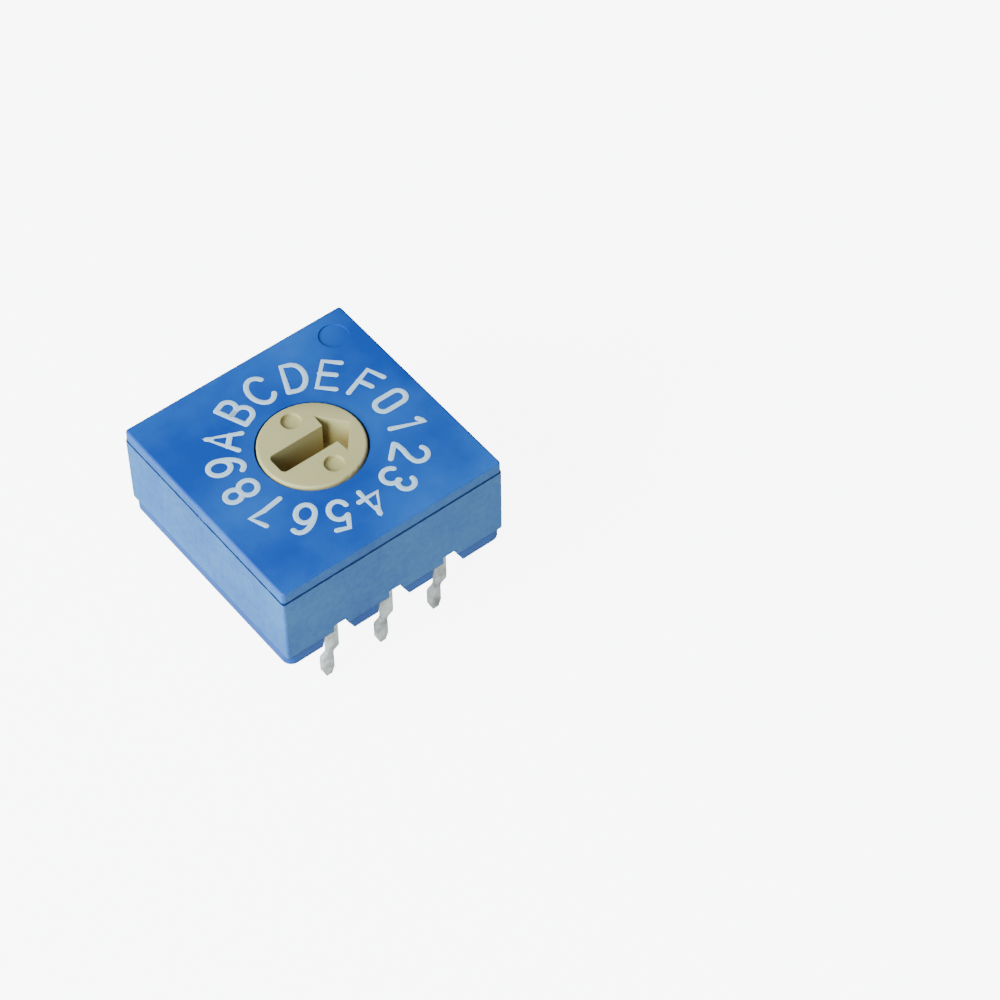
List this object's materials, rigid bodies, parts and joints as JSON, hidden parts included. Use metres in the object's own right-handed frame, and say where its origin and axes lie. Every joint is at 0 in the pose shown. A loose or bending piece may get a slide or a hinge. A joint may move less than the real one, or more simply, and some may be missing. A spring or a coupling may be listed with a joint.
{
  "type": "hex rotary coded switch",
  "caption": "Square through-hole coded switch with a slotted arrow rotor set by screwdriver, a printed 0 to F dial, a moulded base and pins in two rows.",
  "frame": {"origin": "centre of the pin grid in the circuit board plane, on the rotor's axis, level with the faces of the four stand-offs", "axes": "+Z is the rotor's axis, out of the top of the case; +X is the way the arrow points at the 0 position; the corner mark of pin 1 is in the +X +Y quarter"},
  "size_m": [0.01, 0.01, 0.008],
  "materials": {
    "blue_plastic": "moulded, satin",
    "cream_plastic": "moulded, satin",
    "tinned_bronze": "bright tin plate",
    "plated_contact": "gold flash on stamped bronze",
    "seal_rubber": "matt",
    "spring_steel": "bright"
  },
  "bodies": {
    "case": {"housing": "blue_plastic", "base": "blue_plastic", "terminal_1": "tinned_bronze", "terminal_2": "tinned_bronze", "terminal_4": "tinned_bronze", "terminal_8": "tinned_bronze", "terminal_common": "tinned_bronze"},
    "dial": {"rotor": "cream_plastic", "code_plate": "plated_contact", "shaft_seal": "seal_rubber", "detent_spring": "spring_steel", "detent_ball_a": "spring_steel", "detent_ball_b": "spring_steel"}
  },
  "joints": [
    {"name": "dial_turn", "type": "hinge", "parent": "case", "child": "dial", "pos_m": [0, 0, 0.003], "axis": [0, 0, 1], "continuous": true}
  ]
}
